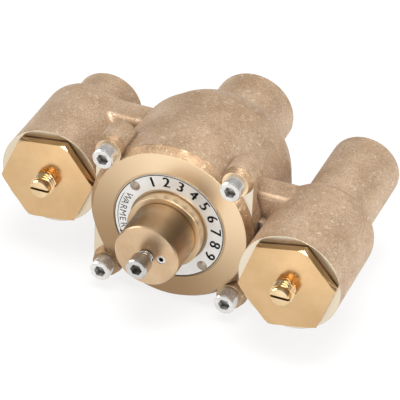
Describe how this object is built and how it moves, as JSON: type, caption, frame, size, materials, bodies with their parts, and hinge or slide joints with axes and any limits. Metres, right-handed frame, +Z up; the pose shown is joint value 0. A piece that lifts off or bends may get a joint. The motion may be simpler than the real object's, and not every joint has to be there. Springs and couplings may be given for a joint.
{
  "type": "water mixing valve",
  "caption": "Hot and cold water mixing valve with a turning adjusting cap, hexagonal check-stop caps on its inlets and a threaded outlet at the rear.",
  "frame": {"origin": "centre of the outlet's mouth", "axes": "+Y out of the outlet, -Y the front with the adjusting cap, +X the cold side, +Z up"},
  "size_m": [0.1694, 0.1389, 0.0768],
  "materials": {
    "cast_bronze": "rough sand cast",
    "brushed_brass": "brushed",
    "polished_brass": "polished",
    "turned_brass": "turned",
    "stainless": "satin",
    "dial_aluminium": "brushed",
    "seal_rubber": "smooth",
    "fibre": "pressed fibre",
    "spring_steel": "drawn wire",
    "copper": "drawn copper"
  },
  "bodies": {
    "valve": {"valve_body": "cast_bronze", "front_cover": "brushed_brass", "cover_seal": "seal_rubber", "cover_screws": "stainless", "dial_plate": "dial_aluminium", "dial_rivets": "stainless", "liner_sleeve": "turned_brass", "liner_seals": "seal_rubber", "return_spring": "spring_steel", "rear_spring_seat": "turned_brass", "hot_check_cap": "polished_brass", "hot_cap_seal": "fibre", "hot_check_spring": "spring_steel", "cold_check_cap": "polished_brass", "cold_cap_seal": "fibre", "cold_check_spring": "spring_steel"},
    "adjuster": {"adjusting_cap": "turned_brass", "cap_screw": "stainless", "cap_set_screw": "stainless", "adjusting_spindle": "turned_brass", "spindle_seal": "seal_rubber", "spindle_clip": "stainless"},
    "pusher": {"drive_nut": "turned_brass", "overtravel_spring": "spring_steel", "thrust_pad": "stainless", "pad_clip": "stainless", "element_piston": "stainless"},
    "shuttle_set": {"shuttle": "turned_brass", "element_capsule": "copper"},
    "hot_stem_carrier": {"hot_stem_seal": "seal_rubber"},
    "hot_stem": {"hot_stop_stem": "turned_brass"},
    "hot_check": {"hot_check_poppet": "turned_brass", "hot_poppet_seal": "seal_rubber"},
    "cold_stem_carrier": {"cold_stem_seal": "seal_rubber"},
    "cold_stem": {"cold_stop_stem": "turned_brass"},
    "cold_check": {"cold_check_poppet": "turned_brass", "cold_poppet_seal": "seal_rubber"}
  },
  "joints": [
    {"name": "cap_turn", "type": "hinge", "parent": "valve", "child": "adjuster", "pos_m": [0, -0.12, 0], "axis": [0, -1, 0], "range_deg": [-135.5, 135.5], "deforming": ["return_spring"]},
    {"name": "pusher_travel", "type": "slide", "parent": "valve", "child": "pusher", "axis": [0, -1, 0], "range_m": [-0.0015, 0.0015], "deforming": ["return_spring"]},
    {"name": "shuttle_travel", "type": "slide", "parent": "pusher", "child": "shuttle_set", "axis": [0, 1, 0], "range_m": [-0.0015, 0.0015], "stiffness_N_per_m": 1500, "deforming": ["return_spring"]},
    {"name": "hot_stem_travel", "type": "slide", "parent": "valve", "child": "hot_stem_carrier", "axis": [0, 1, 0], "range_m": [0, 0.00675]},
    {"name": "hot_stem_turn", "type": "hinge", "parent": "hot_stem_carrier", "child": "hot_stem", "pos_m": [-0.0618, -0.09, 0], "axis": [0, 1, 0], "range_deg": [0, 1621]},
    {"name": "hot_check_lift", "type": "slide", "parent": "valve", "child": "hot_check", "axis": [0, 1, 0], "range_m": [-0.004, 0], "stiffness_N_per_m": 250, "deforming": ["hot_check_spring"]},
    {"name": "cold_stem_travel", "type": "slide", "parent": "valve", "child": "cold_stem_carrier", "axis": [0, 1, 0], "range_m": [0, 0.00675]},
    {"name": "cold_stem_turn", "type": "hinge", "parent": "cold_stem_carrier", "child": "cold_stem", "pos_m": [0.0618, -0.12, 0], "axis": [0, 1, 0], "range_deg": [0, 1621]},
    {"name": "cold_check_lift", "type": "slide", "parent": "valve", "child": "cold_check", "axis": [0, 1, 0], "range_m": [-0.004, 0], "stiffness_N_per_m": 250, "deforming": ["cold_check_spring"]}
  ],
  "couplings": [
    {"joint": "cap_turn", "follows": "pusher_travel", "rad_per_m": 1570.8},
    {"joint": "hot_stem_turn", "follows": "hot_stem_travel", "rad_per_m": 4188.8},
    {"joint": "cold_stem_turn", "follows": "cold_stem_travel", "rad_per_m": 4188.8}
  ]
}
